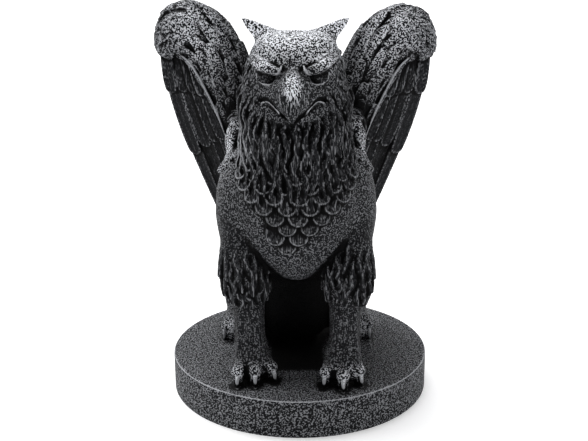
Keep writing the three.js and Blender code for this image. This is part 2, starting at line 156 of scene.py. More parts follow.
class Clay:
    """A block of space: for each cell the distance to the surface, negative inside, how pale it is, and
    whether its grain runs in streaks."""

    def __init__(self, low, high, cell):
        self.place = Place()
        self.low = np.array(low)
        self.cell = cell
        counts = np.ceil((np.array(high) - self.low) / cell).astype(int) + 1
        self.distance = np.full(counts, FAR, np.float32)
        self.tone = np.zeros(counts, np.float16)
        self.hair = np.zeros(counts, np.float16)

    def at(self, place):
        """The same clay, with what is added to it moved to a place."""
        other = copy.copy(self)
        other.place = place
        return other

    def both(self):
        """The same clay for a form as it is drawn, and for its mirror image."""
        return self, self.at(Place(mirror=True))

    def window(self, low, high):
        """The cells between two corners and their coordinates."""
        first = np.clip(np.floor((low - self.low) / self.cell), 0, self.distance.shape).astype(int)
        last = np.clip(np.ceil((high - self.low) / self.cell) + 1, first, self.distance.shape).astype(int)
        cells = tuple(slice(a, b) for a, b in zip(first, last))
        x, y, z = ((self.low[i] + self.cell * np.arange(first[i], last[i])).astype(np.float32)
                   for i in range(3))
        return cells, (x[:, None, None], y[None, :, None], z[None, None, :])

    def merge(self, cells, distance, blend, tone=0.0, hair=0.0):
        """Joins a form to what is there with a fillet of width `blend`."""
        here = self.distance[cells]
        nearer = distance < here
        self.tone[cells] = np.where(nearer, tone, self.tone[cells])
        self.hair[cells] = np.where(nearer, hair, self.hair[cells])
        self.distance[cells] = np.minimum(here, distance) - fillet(here - distance, blend)

    def cut(self, cells, distance, blend, tone=0.0):
        """Cuts a form out of what is there."""
        here = self.distance[cells]
        self.tone[cells] = np.where(-distance > here, tone, self.tone[cells])
        self.distance[cells] = np.maximum(here, -distance) + fillet(here + distance, blend)

    def lump(self, centre, radii, blend=1.0, carve=False, margin=6.0, tone=0.0):
        """An oval mass."""
        centre = self.place.points(centre)
        radii = np.array(radii, float) * self.place.share
        cells, (x, y, z) = self.window(centre - radii - margin, centre + radii + margin)
        parts = [(axis - c) / r for axis, c, r in zip((x, y, z), centre, radii)]
        (self.cut if carve else self.merge)(cells, oval(parts, radii), blend, tone)

    def sweep(self, stations, across=None, facing=None, leaf=False, tip=1.0, relief=None, blend=1.0,
              carve=False, margin=2.0, tone=0.0, hair=None):
        """A form swept along stations [x, y, z, half width, half thickness].

        Its width lies along `across`, or its thickness along `facing`, one direction for all or one for
        each station. A leaf is flat-faced with a round end, and other forms are oval with domed ends.
        relief(across, edge, run) raises its outer face and tells how pale it is there: across is -1 to 1
        over its width, edge grows to 1 at its outline and run goes from 0 to 1 along it.
        """
        points = self.place.points(stations[:, :3])
        sizes = stations[:, 3:5] * self.place.share
        guide = self.place.vectors(across if facing is None else facing)
        guide = np.broadcast_to(guide, points.shape)
        room = sizes.max(1) + margin
        room = np.maximum(room, np.maximum(np.append(room[1:], 0), np.append(0, room[:-1])))[:, None]
        cells, _ = self.window((points - room).min(0), (points + room).max(0))
        shape = [s.stop - s.start for s in cells]
        if not np.prod(shape):
            return
        whole = np.full(shape, FAR, np.float32)
        pale = np.full(shape, tone, np.float32) if relief else tone
        segments = len(points) - 1
        for i in range(segments):
            start, end = points[i], points[i + 1]
            length = np.linalg.norm(end - start)
            if length < TINY:
                continue
            along = (end - start) / length
            leads = [unit(g - along * g.dot(along)) for g in guide[i:i + 2]]
            turned = [np.cross(lead, along) if facing is None else np.cross(along, lead) for lead in leads]
            sides, fronts = (leads, turned) if facing is None else (turned, leads)
            reach = sizes[i:i + 2].max() + margin
            near_cells, (x, y, z) = self.window(np.minimum(start, end) - reach,
                                                np.maximum(start, end) + reach)
            inner = tuple(slice(n.start - c.start, n.stop - c.start) for n, c in zip(near_cells, cells))
            x, y, z = x - np.float32(start[0]), y - np.float32(start[1]), z - np.float32(start[2])
            project = lambda v: x * np.float32(v[0]) + y * np.float32(v[1]) + z * np.float32(v[2])
            s = project(along)
            t = np.clip(s / length, 0, 1)
            rest = s - t * length
            half = lerp(sizes[i, 0], sizes[i + 1, 0], t)
            thick = lerp(sizes[i, 1], sizes[i + 1, 1], t)
            ending = tip * (half if leaf else np.minimum(half, thick))
            u = lerp(project(sides[0]), project(sides[1]), t) / half
            v = lerp(project(fronts[0]), project(fronts[1]), t) / thick
            w = rest / ending
            edge_sq = u * u + w * w
            if leaf:
                edge_sq += TINY
                k = np.sqrt(np.sqrt(edge_sq * edge_sq + v ** 4))
                slope = np.sqrt(edge_sq ** 2 * ((u / half) ** 2 + (w / ending) ** 2) + (v ** 3 / thick) ** 2)
                distance = (k - 1) * k ** 3 / (slope + TINY)
            else:
                distance = oval((u, w, v), (half, ending, thick))
            if relief:
                height, shade = relief(u, np.sqrt(edge_sq), (i + t) / segments)
                own = (rest == 0) | ((i == 0) & (s < 0)) | ((i == segments - 1) & (s > 0))
                distance = distance - height * (v > 0) * own
                pale[inner] = np.where(distance < whole[inner], shade, pale[inner])
            whole[inner] = np.minimum(whole[inner], distance)
        if carve:
            self.cut(cells, whole, blend, pale)
        else:
            self.merge(cells, whole, blend, pale, float(relief is not None) if hair is None else hair)

    def leaf(self, points, facing, half, thick, **options):
        """A flat-faced leaf along points, with its face towards `facing`."""
        ones = np.ones(len(points))
        stations = np.column_stack([points, half * ones, thick * ones])
        self.sweep(stations, facing=facing, leaf=True, **options)

    def sample(self, points, grid=None):
        """Values of a grid at points, between its cells' own."""
        grid = self.distance if grid is None else grid
        spot = (np.asarray(points) - self.low) / self.cell
        spot = np.clip(spot, 0, np.array(grid.shape) - 1.001)
        i = spot.astype(int)
        f = spot - i
        total = 0
        for corner in np.ndindex(2, 2, 2):
            share = np.prod([f[..., n] if corner[n] else 1 - f[..., n] for n in range(3)], axis=0)
            total = total + share * grid[tuple(i[..., n] + corner[n] for n in range(3))]
        return total

    def slope(self, points, step=0.7):
        """The direction in which the distance grows, which is the surface's normal."""
        points = np.asarray(points, float)
        rise = np.stack([self.sample(points + step * axis) - self.sample(points - step * axis)
                         for axis in np.eye(3)], axis=-1)
        return rise / (np.linalg.norm(rise, axis=-1, keepdims=True) + 1e-9)


class Skin:
    """The surface of a limb: points on it by share of its run and by degrees round it from its width."""

    STEPS = 200

    def __init__(self, stations, across):
        self.rows = curve(stations, self.STEPS + 1)
        along = unit(np.gradient(self.rows[:, :3], axis=0))
        self.side = unit(across - along * (along @ across)[:, None])
        self.front = np.cross(self.side, along)

    def at(self, run, degrees, lifts):
        i = np.clip(np.round(np.asarray(run) * self.STEPS).astype(int), 0, self.STEPS)
        angle = np.radians(degrees) * np.ones(len(i))
        width, height = self.rows[i, 3], self.rows[i, 4]
        cos, sin = np.cos(angle)[:, None], np.sin(angle)[:, None]
        side, front = self.side[i] * cos, self.front[i] * sin
        normal = unit(side / width[:, None] + front / height[:, None])
        points = self.rows[i, :3] + side * width[:, None] + front * height[:, None]
        return points + normal * np.asarray(lifts * np.ones(len(i)))[:, None], normal


# Reliefs, which tell how high and how pale a form's outer face is

def crest(value, place, width):
    """1 on a line, falling softly to 0 beside it."""
    return np.exp(-((value - place) / width) ** 2)


def hairs(count, depth, tone=0.5, waver=3.0):
    """Ridges that run along a lock, pale on top."""
    def relief(across, edge, run):
        wave = np.cos(count * math.pi * across + waver * np.sin(9 * run))
        return depth * wave, tone * fade(wave, 0.3, 1)
    return relief


def rimmed(rim, tone, ribs=0, rib_height=0.0):
    """A raised pale rim inside a tile's outline, with ribs that fan out to it."""
    def relief(across, edge, run):
        top = crest(edge, 0.87, 0.1) * (run > 0.5)
        height, pale = rim * top, tone * top
        if ribs:
            rib = np.cos(ribs * math.pi * across)
            height = height + rib_height * rib * (edge < 0.8)
            pale = np.maximum(pale, 0.3 * tone * fade(rib, 0.4, 0.9) * (edge < 0.8))
        return height, pale
    return relief


def quill(rim, shaft, tone):
    """A feather's raised rim and shaft."""
    def relief(across, edge, run):
        top = crest(edge, 0.82, 0.13)
        spine = crest(across, 0, 0.1)
        return rim * top + shaft * spine, tone * np.maximum(top, 0.25 * spine)
    return relief


# The body

def limb(clay, stations, across=ACROSS, **options):
    """A form along stations [x, y, z, half width, half depth], or round where the last is left out."""
    full = [list(s) + [s[3]] * (5 - len(s)) for s in stations]
    clay.sweep(curve(full, 3 * len(full)), across=across, **options)


def body(clay):
    limb(clay, [
        [0, 30, 9, 19, 12], [0, 26, 26, 24, 18], [0, 12, 47, 27, 22], [0, -6, 68, 29, 25],
        [0, -13, 88, 25, 21], [0, -16, 106, 21, 17.5], [0, -18, 121, 18.5, 16.5], [0, -19, 134, 17, 15],
    ], tip=0.75, margin=7)
    limb(clay, [
        [0, -15, 94, 22, 20], [0, -17, 84, 28.5, 26], [0, -19, 74, 29.5, 27], [0, -21, 64, 24.5, 24.5],
        [0, -23, 55, 16.5, 19], [0, -24.4, 50, 11.5, 14.4],
    ], tip=0.75, blend=4, margin=7)
    limb(clay, [
        [0, -27.6, 114, 15.4, 13.8], [0, -26.6, 106, 19.5, 15.8], [0, -24.4, 97, 21.5, 17.8],
        [0, -21.5, 87, 22, 19.6],
    ], blend=4, margin=7)
    clay.lump((0, 10, 22), (20, 18, 24), blend=5)
    for side in clay.both():
        side.lump((24, -14, 72), (11.5, 17, 24), blend=4)
        side.lump((22.5, 16, 24), (13, 20.5, 24), blend=4)
        side.lump((24.6, -6, 101), (5.6, 8.4, 12.5), blend=4)


# Points on the body, found from outside at an angle round the neck's line: 0 is the front, 90 the +X side
NECK_LINE_Y = -14
SEARCH_FROM = 62.0
SEARCH_TO = 2.0
SEARCH_STEP = 0.4


def on_body(clay, degrees, heights):
    """Points and normals of the body at angles round the neck's line and heights."""
    angle = np.radians(np.asarray(degrees, float))
    out = np.stack([np.sin(angle), -np.cos(angle), np.zeros_like(angle)], axis=-1)
    middle = np.zeros_like(out)
    middle[..., 1] = NECK_LINE_Y
    middle[..., 2] = heights
    radii = np.arange(SEARCH_FROM, SEARCH_TO, -SEARCH_STEP)
    found = clay.sample(middle[..., None, :] + out[..., None, :] * radii[:, None])
    first = np.argmax(found < 0, axis=-1)
    before = np.take_along_axis(found, np.maximum(first - 1, 0)[..., None], -1)[..., 0]
    after = np.take_along_axis(found, first[..., None], -1)[..., 0]
    radius = radii[first] + SEARCH_STEP * (-after) / np.maximum(before - after, TINY)
    points = middle + out * radius[..., None]
    return points, clay.slope(points, 1.5)


def lay(clay, shape, degrees, heights, lifts, half, thick, **options):
    """A lock, feather or scale that lies on the body along a line of angles and heights."""
    ones = np.ones(len(heights))
    points, normals = on_body(shape, degrees * ones, heights)
    clay.leaf(points + normals * (lifts * ones)[:, None], normals, half, thick, **options)


# The ruff: long wavy locks that fall from the jaw and the cheeks over the breast, the longest in the middle
LOCK_TAPER = np.array([.8, .95, 1, 1, 1, 1, 1, 1, 1, 1, .98, .92, .8, .6])
LOCK_RISE = np.array([-1.3, -.4, .4, .8, 1, 1, 1, 1, 1, 1, 1, 1.05, 1.1, 1.1])
# Each row: its count, its reach in degrees, its tops and ends in the middle and at the sides, and its locks'
# half width, half thickness and lift
RUFF_ROWS = (
    (23, 72, (110.5, 118), (77, 92), 1.7, 1.4, 0.5),
    (21, 72, (112.5, 124), (82.5, 97), 1.4, 1.6, 1.2),
    (19, 76, (114, 130), (93, 106), 1.2, 1.4, 1.9),
)


def ruff(clay, shape, chance):
    run = np.linspace(0, 1, len(LOCK_TAPER))
    for count, reach, tops, ends, width, thick, lift in RUFF_ROWS:
        for i in range(count):
            share = 2 * (i + 0.5) / count - 1
            top = lerp(*tops, share ** 2)
            bottom = lerp(*ends, share ** 2) + chance.uniform(-2.4, 2.4)
            sway = chance.uniform(1.0, 2.2) * np.sin(chance.uniform(0, 6.3) + run * chance.uniform(7, 11))
            sway = sway + 0.7 * np.sin(chance.uniform(0, 6.3) + run * chance.uniform(15, 20))
            degrees = share * reach * lerp(1.0, 0.88, run) + sway
            lifts = lift * LOCK_RISE + 0.35 * np.sin(run * 11 + 2 * i)
            half = width * chance.uniform(0.85, 1.15) * LOCK_TAPER
            lay(clay, shape, degrees, lerp(top, bottom, run), lifts, half, thick,
                relief=hairs(1, 0.35, 0.42, waver=1.8), blend=0.25)


# The cheeks: rows of short strokes from the eyes back and down to the ruff
def cheeks(clay, shape, chance):
    run = np.linspace(0, 1, 5)
    for height in np.arange(137, 113, -2.6):
        for degrees in np.arange(44 if height > 125 else 32, 104, 6.5):
            for side in (-1, 1):
                angle = degrees + 3.5 * (round(height) % 2) + chance.uniform(-1.5, 1.5)
                start = side * angle - HEAD_TURN_DEG
                top = height + chance.uniform(-0.8, 0.8)
                lay(clay, shape, start + side * 5 * run, lerp(top, top - 4.4, run), lerp(-0.5, 0.6, run),
                    1.05 * np.array([.6, .9, 1, .95, .7]), 0.8, relief=hairs(1, 0.1, 0.5), blend=0.25)


# The mane: broad short feathers down the back of the neck
def mane(clay, shape):
    run = np.linspace(0, 1, 7)
    for row, end in enumerate((83, 92.5, 102, 111.5, 121, 130)):
        for i in range(9):
            degrees = 180 + (i + 0.5 * (row % 2) - 4.25) * 15
            lay(clay, shape, degrees, lerp(end + 15, end + 3, run), lerp(-1, 1.3, run),
                4.2 * np.array([.8, .95, 1, 1, 1, .95, .8]), 1.1, relief=rimmed(0.4, 0.4, 3, 0.2), blend=0.5)


# The breast: rows of round scales that narrow to a point over the breastbone
SCALE_PITCH_DEG = 17.5
SCALE_ROW_PITCH = 4.0
SCALE_POINT = 59.5
SCALE_ROWS = 9


def scales(clay, shape, chance):
    run = np.linspace(0, 1, 7)
    for row in range(SCALE_ROWS):
        end = SCALE_POINT + row * SCALE_ROW_PITCH
        for column in range(-4, 5):
            degrees = (column + 0.5 * ((row + 1) % 2)) * SCALE_PITCH_DEG + 1.5
            if abs(degrees) > min(9 + 1.9 * (end - SCALE_POINT), 58):
                continue
            half = chance.uniform(4.0, 4.4)
            lay(clay, shape, degrees + chance.uniform(-1.2, 1.2), lerp(end + 10, end + 3.4, run),
                lerp(-1.1, 0.55, run), half * np.array([.8, .9, 1, 1, 1, 1, .98]), 0.9, tip=0.9,
                relief=rimmed(0.5, 0.7, 5, 0.2), blend=0.25)


# The shoulders: lobes of soft feathers between the ruff and the wings
def shoulders(clay, shape, chance):
    run = np.linspace(0, 1, 9)
    for side in (-1, 1):
        for degrees, top, end in ((70, 119, 96), (82, 117, 91), (93, 114, 89)):
            sway = 1.2 * np.sin(6 * run + degrees)
            lay(clay, shape, side * (degrees + sway), lerp(top, end, run), lerp(-1.8, 0.1, np.sqrt(run)),
                3.2 * np.array([.6, .85, .95, 1, 1, 1, 1, .95, .8]), 1.6, relief=hairs(1, 0.2, 0.2),
                blend=1.0, hair=0.0)


# The head: a blunt skull with swept ear tufts, scowling brows, half shut eyes and a hooked beak
HEAD = Place(turn_deg=HEAD_TURN_DEG, about=(0, -18, 0))
HEAD_RIGHT = Place(turn_deg=HEAD_TURN_DEG, about=(0, -18, 0), mirror=True)
BROW_LIFT = 0.6
# The mouth's line as seen from the front, from its corner to the beak's tip: x, z and half width
MOUTH = [[12.8, 121.4, 0.7], [10.8, 122.3, 0.8], [8.8, 121.5, 0.6], [6.1, 118.8, 0.5], [3.4, 115.8, 0.45],
         [1, 113.9, 0.35]]


def skull(clay):
    head = clay.at(HEAD)
    limb(head, [
        [-8, -19, 132, 17.5, 15.4], [0, -19, 133, 18.5, 15.4], [8, -19, 132, 17.5, 15.4],
    ], across=BACKWARD, tip=0.76, blend=3, margin=7)
    head.lump((0, -26, 125), (18.5, 12.5, 14), blend=4)
    for side in (head, clay.at(HEAD_RIGHT)):
        side.lump((9, -27, 116.5), (10.4, 10, 9), blend=4)
        side.lump((11.5, -23, 122), (9.6, 11, 10), blend=4)
        limb(side, [
            [0, -41.4, 114.4, 2.6, 2.4], [4.6, -40, 115.2, 3.8, 3.6], [9.6, -34.6, 117, 5.2, 4.6],
            [13.6, -29.4, 119, 4.6, 4.4],
        ], across=UP, blend=2)
        limb(side, [
            [7, -15, 139.5, 8, 5.6], [12, -14.6, 145, 4.8, 4], [16.2, -14.2, 148.3, 3.1, 2.6],
            [19.6, -13.9, 150.8, 1.9, 1.6], [22, -13.8, 152.6, 0.6, 0.6],
        ], across=np.array([0.7, 0, -0.7]), blend=3)


def beak(clay):
    head = clay.at(HEAD)
    limb(head, [
        [0, -32, 126, 12.4, 6.4], [0, -40, 125.4, 9.4, 6.4], [0, -45.6, 122.8, 6.2, 5],
        [0, -48.8, 118, 3.2, 2.8], [0, -48.6, 114.2, 0.9, 0.9],
    ], tip=0.6, blend=2)
    limb(head, [
        [0, -38, 130.6, 3, 3], [0, -43.4, 129.4, 3.6, 3.4], [0, -48.2, 125, 2.6, 2.4],
        [0, -49.8, 119, 1, 1],
    ], blend=2.5)
    for side in (head, clay.at(HEAD_RIGHT)):
        limb(side, [
            [1, -44.4, 120.6, 4.4, 4.4], [5.4, -40.8, 122.6, 4.2, 4], [10, -35.4, 125, 3.4, 3.4],
        ], across=UP, blend=1.5)


# Where a line on the face looks for the surface: from the front to the back, in steps
FACE_DEPTHS = np.arange(-58.0, -20.0, 0.2)


def draw(clay, path, sink=0.0, **options):
    """A fine ridge or groove on the face along points x, z and half width, as seen from the front."""
    path = np.array(path, float)
    points = clay.place.points(np.column_stack([path[:, 0], np.full(len(path), -40), path[:, 1]]))
    columns = np.repeat(points[:, None], len(FACE_DEPTHS), axis=1)
    columns[..., 1] = FACE_DEPTHS
    points[:, 1] = FACE_DEPTHS[np.argmax(clay.sample(columns) < 0, axis=1)] + sink
    limb(clay.at(Place()), np.column_stack([points, path[:, 2]]), across=UP, **options)


def face(clay):
    for side, lift in ((clay.at(HEAD), BROW_LIFT), (clay.at(HEAD_RIGHT), -BROW_LIFT)):
        # The socket, the eye and its lower lid
        side.lump((10.6, -38.2, 130.7), (4.2, 3.4, 2.8), blend=0.4, carve=True)
        side.lump((9.8, -34.5, 129.9), (4.9, 3.4, 3.4), blend=0.2, tone=-0.3)
        draw(side, [
            [6.8, 128.9, 0.25], [8.8, 128.0, 0.32], [11, 127.8, 0.34], [13, 128.8, 0.34],
            [14.3, 130.4, 0.3], [14.7, 132.2, 0.25],
        ], sink=0.05, blend=0.3, tone=0.5)
        # The brow: a heavy pad that dips towards the beak, its pale crest and the curl at its inner end
        limb(side, [
            [5, -39.8, 132.9, 1.2, 1.5], [7.6, -38.8, 133.4, 1.8, 2.2], [10.8, -36.8, 134.5, 2.2, 2.6],
            [14.2, -33.4, 136 + lift, 2.2, 2.3], [17, -28.6, 137.6 + lift, 1.1, 1.2],
        ], across=UP, blend=0.9)
        draw(side, [
            [9.4, 136.9, 0.25], [12.6, 138.2 + lift, 0.4], [16, 139.6 + lift, 0.3],
        ], blend=0.5, tone=0.4)
        draw(side, [
            [7.6, 131.8, 0.3], [6.2, 132.3, 0.45], [5.1, 133.5, 0.5], [4.4, 135, 0.35],
        ], blend=0.3, tone=0.4)
        # The mouth and the lip under it
        draw(side, [[x * 0.97, z - 0.9, 0.35] for x, z, _ in MOUTH[:-1]], blend=0.25, tone=0.6)
        draw(side, MOUTH, blend=0.1, carve=True, tone=-1.0)
    clay.lump((18.4, -13, 138.7), (1.5, 1.5, 1.5), blend=0.4)


# A foreleg: the upper arm, a cuff of curled tufts, a straight shank and three clawed toes
FOOT_Y = -37
TOES_MIDDLE = 19.4
TOE_PITCH = 6.9
LEFT_TOES = (8, 11.6, 6.8)
RIGHT_TOES = (6.6, 10.8, 11.2)
TUFT_COUNT = 15
TUFT_TAPER = np.array([.3, .6, .85, 1, 1.05, 1, .85, .6])


def toe(clay, start, end, knuckle, size):
    """A short toe from a foot to a round knuckle, with a claw that drops from it to the ground."""
    start, end = np.array(start, float), np.array(end, float)
    reach = unit(end - start)
    at = lambda forward, height: [*(end + reach * (forward * size)), height * knuckle]
    station = lambda forward, height, radius: at(forward, height) + [radius * size]
    limb(clay, [
        [*start, 1.1 * knuckle, 0.8 * size], station(-0.9, 1.12, 0.85), station(0, 0.95, 0.85),
    ], blend=1.2, tone=0.1)
    clay.lump(at(0, 1), (1.02 * size, size, 0.92 * size), blend=0.8, margin=3, tone=0.3)
    clay.lump(at(0.2, 0.45), (0.8 * size, 0.8 * size, 0.45 * knuckle), blend=0.8, margin=3)
    limb(clay, [station(0.7, 0.92, 0.33), station(1.15, 0.62, 0.3), station(1.3, 0.3, 0.2),
                station(1.24, 0.02, 0.06)], blend=0.2, tone=0.5)


def foreleg(clay, step_back, toe_reach, chance):
    limb(clay, [
        [24, -17, 70, 10, 14], [23, -25, 54, 9.4, 11.5], [21.6, -31 + step_back * 0.5, 42, 8.2, 9],
        [21, -33.5 + step_back, 31, 6.9, 7.2], [20.8, -34 + step_back, 17, 6.7, 6.8],
        [20.2, -35 + step_back, 6, 7.6, 7],
    ], tip=0.6, blend=3, margin=6, hair=0.4)
    cuff = [[23.6, -23, 58, 9.4, 11.6], [22.6, -28.4 + step_back * 0.4, 48, 10.2, 11],
            [22, -31.4 + step_back * 0.7, 39.6, 9.6, 9.8], [21.4, -33.2 + step_back * 0.9, 33.6, 7.2, 7.4]]
    limb(clay, cuff, blend=1.5, margin=4, tip=0.5)
    skin = Skin(cuff, ACROSS)
    run = np.linspace(0, 1, len(TUFT_TAPER))
    for row, end in enumerate((0.46, 0.72, 0.98)):
        for i in range(TUFT_COUNT):
            degrees = (i + 0.5 * (row % 2)) * 360 / TUFT_COUNT + chance.uniform(-4, 4)
            bend = chance.choice((-1, 1)) * chance.uniform(2, 7) * run ** 2 + 3 * np.sin(8 * run + 2 * i)
            bottom = end + chance.uniform(-0.05, 0.05)
            points, out = skin.at(lerp(bottom - 0.46, bottom, run), degrees + bend, lerp(-1.1, 0.5, run))
            half = chance.uniform(1.3, 1.8) * TUFT_TAPER
            clay.leaf(points, out, half, 1.2, relief=hairs(1, 0.4, 0.5, waver=1.2), blend=0.25)
    # The foot, and its toes each with a tendon that climbs the shank
    foot_y = FOOT_Y + step_back
    middle = TOES_MIDDLE - step_back / 4
    limb(clay, [
        [20.4, foot_y + 1, 13, 7, 6], [19.8, foot_y - 3, 8.2, 8.4, 5],
        [middle, foot_y - 6, 5.4, 8.2, 4.4],
    ], blend=2)
    for i, forward in zip((-1, 0, 1), toe_reach):
        toe(clay, (19.6 + i * 4.4, foot_y), (middle + i * TOE_PITCH, foot_y - forward), 6.2, 2.9)
        front = foot_y - 2.8 + abs(i)
        limb(clay, [
            [20.9 + i * 3.4, front, 30, 1.1], [20.7 + i * 3.8, front - 0.4, 18, 1.2],
            [19.6 + i * 4.8, front - 3.8, 10, 1.7],
        ], blend=2, tone=0.12, hair=0.4)


def hind_leg(clay):
    limb(clay, [[25, 30, 6, 7, 6], [28.5, 18, 7, 7, 7], [30.6, 9, 7, 5.4, 6.2]], blend=3,
         margin=6)
    clay.lump((30.8, 8, 4), (5.4, 7, 5), blend=2)
    for i in (-1, 0, 1):
        toe(clay, (30.6 + i * 2.6, 9), (31 + i * 3.5, 3.4 + abs(i) * 1.2), 7.4, 2.2)


def tail(clay):
    limb(clay, [
        [0, 36, 14, 5.5], [-8, 46, 7, 4.4], [-20, 48.5, 4.4, 3.8], [-29, 43, 5, 3.4], [-28, 38, 14, 3],
    ], blend=2)
    for turn in np.arange(5) * 2 * math.pi / 5:
        limb(clay, [
            [-28, 38, 12, 2.6], [-25 + 1.6 * math.cos(turn), 36.5 + 1.6 * math.sin(turn), 20, 2.6],
            [-20 + 0.8 * math.cos(turn), 35 + 0.8 * math.sin(turn), 27.5, 0.7],
        ], blend=0.5, tone=0.2)


# The wing: an arm that climbs from the shoulder to the wrist, and a vane of feathers that hangs from it
WING_SHOULDER = (19, 3, 84)
LEFT_WING = Place(share=LEFT_WING_SHARE, spread=LEFT_WING_SPREAD / LEFT_WING_SHARE, about=WING_SHOULDER)
WING_ARM = [
    [19, 3, 84, 6.5, 8], [21.7, 4, 99, 6.5, 9], [24.7, 5.5, 111.6, 6.5, 10.2], [30.3, 7, 126, 6.8, 11.5],
    [39.5, 8, 142, 7.2, 12], [49.2, 8.5, 148, 7.6, 11.2], [55, 9, 144.6, 5.8, 6.6], [56.4, 10, 138, 3.6, 3.2],
]
OUTER_EDGE = curve([[60.5, 10, 148], [59.8, 14, 131], [57, 23, 112], [51.2, 34, 89], [43, 43, 64],
                    [35, 49, 42], [29, 52, 24]], 101)
INNER_EDGE = curve([[46, 7, 138], [39.5, 8, 122], [33, 10, 106], [27, 15, 88], [24, 25, 66],
                    [23.5, 37, 44], [26, 48, 26]], 101)
VANE_CAMBER = 3
VANE_COUNT = 4
# Each row of feathers: where it starts, where its inner and its outer feathers end, and its lift
VANE_ROWS = ((0.3, 0.88, 1.0, 0.5), (0.08, 0.4, 0.53, 1.7), (0.02, 0.2, 0.27, 3.0))


def vane_points(s, run):
    """Points on the vane, s from its inner to its outer edge, run down its length, and their back."""
    row = np.clip(run, 0, 1) * 100
    pick = lambda line: np.column_stack([np.interp(row, np.arange(101), line[:, n]) for n in range(3)])
    inner, outer = pick(INNER_EDGE), pick(OUTER_EDGE)
    along = np.gradient(OUTER_EDGE, axis=0)[np.round(row).astype(int)]
    back = unit(np.cross(outer - inner, along))
    points = lerp(inner, outer, s) + back * VANE_CAMBER * math.sin(math.pi * s)
    return points, back, np.linalg.norm(outer - inner, axis=1)


def vane(clay):
    columns = (np.arange(VANE_COUNT) + 0.5) / VANE_COUNT
    for s in columns:
        points, back, breadth = vane_points(s, np.linspace(0.03, 0.9, 16))
        clay.leaf(points, back, breadth / VANE_COUNT / 2 * 1.1, 0.9, blend=0.6)
    for side in (-1, 1):
        for start, inner_end, outer_end, lift in VANE_ROWS:
            for s in columns:
                end = lerp(inner_end, outer_end, s)
                points, back, breadth = vane_points(s, np.linspace(start, end - 0.03, 12))
                facing = side * back
                edgeways = unit(np.cross(facing, np.gradient(points, axis=0)))
                lifted = points + facing * np.linspace(0.3, 1, 12)[:, None] * lift
                half = breadth / VANE_COUNT / 2 * 1.06 * np.append(np.ones(10), [.98, .9])
                clay.leaf(lifted, facing + 0.24 * side * edgeways, half, 0.85, tip=1.1,
                          relief=quill(0.5, 0.15, 0.6), blend=0.2)


def arm_feathers(clay, chance):
    """Soft feathers that lie along the arm, up to the wrist, with curled tips towards the neck."""
    skin = Skin(WING_ARM, BACKWARD)
    run = np.linspace(0, 1, 7)
    taper = np.array([.5, .8, .95, 1, 1, .9, .7])
    for row, start in enumerate(np.arange(0.2, 0.8, 0.07)):
        for i in range(10):
            degrees = 90 + (i + 0.5 * (row % 2)) * 36 + chance.uniform(-6, 6)
            inner = 1 if 225 < degrees % 360 < 330 else 0
            bend = chance.uniform(-8, 8) + (14 if inner else 5) * run ** 2
            length = 0.14 + 0.02 * inner
            points, out = skin.at(start + run * length, degrees + bend, lerp(-1.2, 0.7 * inner, run))
            clay.leaf(points, out, chance.uniform(2.4, 3.1) * taper, 1.1, relief=rimmed(0.25, 0.5),
                      blend=0.5, hair=0.0)


WRIST = [[48, 4.5, 149, 7.4, 7], [53, 6, 147, 7, 6.6], [56.4, 8, 143, 6, 5.4], [57.4, 10, 139.6, 4.4, 3]]


def coverts(clay, chance):
    """Short curled coverts that cluster over the outside of the wrist, down to the first feathers."""
    limb(clay, WRIST, across=BACKWARD, blend=2.5)
    skin = Skin(WRIST, BACKWARD)
    run = np.linspace(0, 1, 6)
    for row, end in enumerate(np.linspace(0.16, 1, 6)):
        for i in range(12):
            degrees = (i + 0.5 * (row % 2)) * 30 + chance.uniform(-7, 7)
            bend = chance.choice((-1, 1)) * chance.uniform(8, 26) * run ** 2
            points, out = skin.at(lerp(max(end - 0.36, 0), end, run), degrees + bend, lerp(-0.9, 0.7, run))
            clay.leaf(points, out, 1.7 * np.array([.6, .9, 1, 1, .95, .8]), 0.9,
                      relief=rimmed(0.45, 0.5), blend=0.25, hair=0.0)


def wing(clay, chance):
    limb(clay, WING_ARM, across=BACKWARD, blend=2.5, margin=6)
    # A hollow down the arm's front, and further on the pale line between the arm and the vane
    limb(clay, [
        [26, -2.6, 97, 2.2, 1.8], [30, -2.2, 109, 3.4, 3], [35, -1.8, 121, 3.8, 3.2],
        [41, -0.8, 131, 3.2, 2.8], [48, 0.4, 138, 1.8, 1.6],
    ], blend=2.5, carve=True)
    vane(clay)
    arm_feathers(clay, chance)
    limb(clay, [
        [28.6, 1.4, 92, 0.55], [33.2, 1.6, 106, 0.6], [39.2, 2, 120, 0.6], [45.6, 2.6, 132, 0.6],
        [50, 2.8, 136.6, 0.5],
    ], blend=0.5, tone=0.36)
    coverts(clay, chance)


FOOT_FILLET = 1.6
PLINTH_REACH = ((-64.0, -64, -22), (68.0, 64, 6))


def plinth(clay):
    cells, (x, y, z) = clay.window(*np.array(PLINTH_REACH))
    from_axis = np.hypot(x + FIGURE_OFFSET_X, y)
    beyond = from_axis - PLINTH_RADIUS + PLINTH_EDGE_RADIUS + 0 * z
    above = z + PLINTH_EDGE_RADIUS + 0 * from_axis
    rounded = np.hypot(np.maximum(beyond, 0), np.maximum(above, 0)) + np.minimum(np.maximum(beyond, above), 0)
    distance = np.maximum(rounded - PLINTH_EDGE_RADIUS, -PLINTH_THICKNESS - z)
    clay.merge(cells, distance.astype(np.float32), FOOT_FILLET)


WING_FILLET = 3.0


def bare_shape():
    """The smooth body and head, which the feathers are laid on."""
    shape = Clay(REACH_LOW, REACH_HIGH, COARSE_CELL)
    body(shape)
    skull(shape)
    return shape


